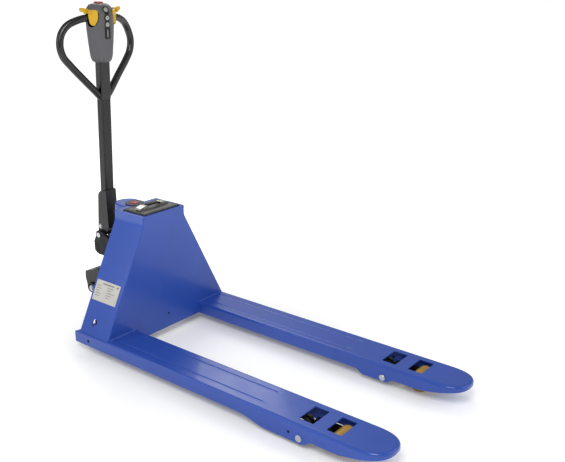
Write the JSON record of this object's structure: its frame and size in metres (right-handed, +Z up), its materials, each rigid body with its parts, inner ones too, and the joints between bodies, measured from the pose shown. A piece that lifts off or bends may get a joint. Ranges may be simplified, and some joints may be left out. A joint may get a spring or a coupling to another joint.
{
  "type": "electric pallet truck",
  "caption": "Walk-behind electric pallet truck: two long forks with load rollers in their tips, a tapering battery housing, and a steered drive wheel under a tiller with a looped handle.",
  "frame": {"origin": "on the floor, under the middle of the bounding box, on the truck's centre plane", "axes": "+X towards the fork tips, +Y to the left as seen from the tiller looking along the forks, +Z up; forks lowered, drive wheel straight, tiller upright"},
  "size_m": [1.588, 0.646, 1.2912],
  "materials": {
    "blue_paint": "satin powder coat",
    "black_paint": "satin black paint",
    "black_plastic": "fine grain",
    "grey_plastic": "fine grain",
    "lid_grey": "fine grain",
    "rubber": "matte",
    "bright_steel": "turned",
    "chrome": "polished",
    "cast_iron": "as cast, black",
    "yellow_pu": "satin polyurethane",
    "black_pu": "satin polyurethane",
    "yellow_plastic": "semi-gloss",
    "red_plastic": "semi-gloss",
    "light_plastic": "matte",
    "navy_plastic": "matte",
    "nameplate": "matte, printed with plain lines",
    "aluminium": "as cast"
  },
  "bodies": {
    "chassis": {"fork_channel_right": "blue_paint", "fork_channel_left": "blue_paint", "fork_nose_right": "blue_paint", "fork_nose_left": "blue_paint", "roller_pivot_axle_right": "bright_steel", "roller_pivot_axle_left": "bright_steel", "side_panel_right": "blue_paint", "side_panel_left": "blue_paint", "shaft_carrier_right": "blue_paint", "shaft_carrier_left": "blue_paint", "shaft_bush_right": "cast_iron", "shaft_bush_left": "cast_iron", "front_plate": "blue_paint", "top_cap": "blue_paint", "motor_controller": "aluminium", "nameplate": "nameplate", "lid_gasket": "rubber", "estop_base": "navy_plastic", "ram_rod": "chrome"},
    "battery_pack": {"battery_case": "black_plastic", "battery_lid": "lid_grey", "strap_cap_right": "chrome", "strap_cap_left": "chrome", "strap_handle": "rubber"},
    "stop_plunger": {"estop_button": "red_plastic"},
    "rocker": {"rocker_shaft": "black_paint"},
    "right_push_rod": {"push_rod_right": "bright_steel"},
    "left_push_rod": {"push_rod_left": "bright_steel"},
    "right_roller_frame": {"roller_frame_right": "black_paint", "load_roller_axle_right": "bright_steel"},
    "left_roller_frame": {"roller_frame_left": "black_paint", "load_roller_axle_left": "bright_steel"},
    "right_load_roller": {"load_roller_tyre_right": "yellow_pu", "load_roller_core_right": "bright_steel"},
    "left_load_roller": {"load_roller_tyre_left": "yellow_pu", "load_roller_core_left": "bright_steel"},
    "lift_carriage": {"lift_yoke": "black_paint", "wheel_guard": "black_plastic", "arm_bolt_right": "bright_steel", "arm_bolt_left": "bright_steel", "steering_bearing": "bright_steel"},
    "turret": {"pump_head": "cast_iron", "lift_cylinder": "black_paint", "oil_tank": "black_plastic", "pump_motor": "aluminium", "wheel_fork": "black_paint", "wheel_axle": "bright_steel", "tiller_pin": "bright_steel"},
    "drive_wheel": {"drive_tyre": "black_pu", "drive_hub_motor": "aluminium"},
    "tiller": {"tiller_bracket": "black_paint", "tiller_tube": "black_paint", "steering_loop": "black_paint", "head_shell": "grey_plastic", "control_strip": "black_plastic"},
    "lift_key": {"lift_button": "light_plastic"},
    "lower_key": {"lower_button": "light_plastic"},
    "horn_key": {"horn_button": "light_plastic"},
    "thumb_throttle": {"throttle": "yellow_plastic"},
    "belly_key": {"belly_button": "red_plastic"}
  },
  "joints": [
    {"name": "lift", "type": "slide", "parent": "chassis", "child": "lift_carriage", "axis": [0, 0, -1], "range_m": [0, 0.11]},
    {"name": "rocker_turn", "type": "hinge", "parent": "chassis", "child": "rocker", "pos_m": [-0.50402, 0, 0.1265], "axis": [0, -1, 0], "range_deg": [0, 29.1]},
    {"name": "right_push_rod_slide", "type": "slide", "parent": "chassis", "child": "right_push_rod", "axis": [1, 0, 0], "range_m": [0, 0.0343]},
    {"name": "right_roller_frame_turn", "type": "hinge", "parent": "chassis", "child": "right_roller_frame", "pos_m": [0.49197, -0.245, 0.033], "axis": [0, 1, 0], "range_deg": [0, 64]},
    {"name": "right_load_roller_spin", "type": "hinge", "parent": "right_roller_frame", "child": "right_load_roller", "pos_m": [0.61198, -0.245, 0.037], "axis": [0, 1, 0], "continuous": true},
    {"name": "left_push_rod_slide", "type": "slide", "parent": "chassis", "child": "left_push_rod", "axis": [1, 0, 0], "range_m": [0, 0.0343]},
    {"name": "left_roller_frame_turn", "type": "hinge", "parent": "chassis", "child": "left_roller_frame", "pos_m": [0.49197, 0.245, 0.033], "axis": [0, 1, 0], "range_deg": [0, 64]},
    {"name": "left_load_roller_spin", "type": "hinge", "parent": "left_roller_frame", "child": "left_load_roller", "pos_m": [0.61198, 0.245, 0.037], "axis": [0, 1, 0], "continuous": true},
    {"name": "steer", "type": "hinge", "parent": "lift_carriage", "child": "turret", "pos_m": [-0.62103, 0, 0.25], "axis": [0, 0, 1], "range_deg": [-90, 90]},
    {"name": "drive_wheel_spin", "type": "hinge", "parent": "turret", "child": "drive_wheel", "pos_m": [-0.62103, 0, 0.095], "axis": [0, 1, 0], "continuous": true},
    {"name": "tiller_tilt", "type": "hinge", "parent": "turret", "child": "tiller", "pos_m": [-0.76102, 0, 0.36], "axis": [0, -1, 0], "range_deg": [0, 75], "stiffness_Nm_per_rad": 45, "springref_deg": -8.59},
    {"name": "lift_key_press", "type": "slide", "parent": "tiller", "child": "lift_key", "axis": [-0.8647, 0, -0.5023], "range_m": [0, 0.0015], "stiffness_N_per_m": 200, "springref_m": -0.001},
    {"name": "lower_key_press", "type": "slide", "parent": "tiller", "child": "lower_key", "axis": [-0.9988, 0, 0.0497], "range_m": [0, 0.0015], "stiffness_N_per_m": 200, "springref_m": -0.001},
    {"name": "horn_key_press", "type": "slide", "parent": "tiller", "child": "horn_key", "axis": [-0.9988, 0, 0.0497], "range_m": [0, 0.0015], "stiffness_N_per_m": 200, "springref_m": -0.001},
    {"name": "throttle_turn", "type": "hinge", "parent": "tiller", "child": "thumb_throttle", "pos_m": [-0.70134, 0, 1.25714], "axis": [0, 1, 0], "range_deg": [-15, 15], "stiffness_Nm_per_rad": 0.6},
    {"name": "belly_key_press", "type": "slide", "parent": "tiller", "child": "belly_key", "axis": [-0.0497, 0, -0.9988], "range_m": [0, 0.0015], "stiffness_N_per_m": 400, "springref_m": -0.002},
    {"name": "stop_press", "type": "slide", "parent": "chassis", "child": "stop_plunger", "axis": [0, 0, -1], "range_m": [0, 0.005], "stiffness_N_per_m": 2000, "springref_m": -0.002},
    {"name": "battery_pull", "type": "slide", "parent": "chassis", "child": "battery_pack", "axis": [0, 0, 1], "range_m": [0, 0.25]}
  ],
  "couplings": [
    {"joint": "rocker_turn", "follows": "lift", "rad_per_m": 4.6062},
    {"joint": "right_push_rod_slide", "follows": "lift", "ratio": 0.31101},
    {"joint": "right_roller_frame_turn", "follows": "lift", "rad_per_m": 10.138},
    {"joint": "left_push_rod_slide", "follows": "lift", "ratio": 0.31101},
    {"joint": "left_roller_frame_turn", "follows": "lift", "rad_per_m": 10.138}
  ]
}
